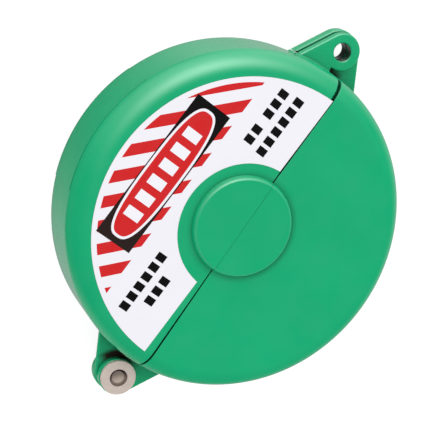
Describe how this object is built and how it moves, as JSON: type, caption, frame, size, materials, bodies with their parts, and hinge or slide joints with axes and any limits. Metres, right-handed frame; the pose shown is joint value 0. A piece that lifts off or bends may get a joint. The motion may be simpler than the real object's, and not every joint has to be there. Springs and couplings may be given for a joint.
{
  "type": "valve handwheel lockout",
  "caption": "Round two-part plastic cover that hinges shut over a valve handwheel and takes a padlock through its overlapping ears.",
  "frame": {"origin": "on the disc's axis, in the plane of the back rim", "axes": "+Z along the disc's axis out of the front face, +X along the seam from the rivet to the padlock hole, +Y towards the labelled half"},
  "size_m": [0.2276, 0.1803, 0.045],
  "materials": {
    "green_plastic": "satin moulded polypropylene",
    "plug_plastic": "satin moulded polypropylene",
    "rivet_metal": "satin",
    "label_film": "printed vinyl"
  },
  "bodies": {
    "labelled_half": {"outer_shell": "green_plastic", "outer_plug": "plug_plastic", "hinge_rivet": "rivet_metal", "rivet_collar": "rivet_metal", "rivet_washer": "rivet_metal", "label": "label_film"},
    "swing_half": {"inner_shell": "green_plastic", "inner_plug": "plug_plastic"}
  },
  "joints": [
    {"name": "half_swing", "type": "hinge", "parent": "labelled_half", "child": "swing_half", "pos_m": [-0.103, 0, 0], "axis": [0, 0, -1], "range_deg": [0, 210]}
  ]
}
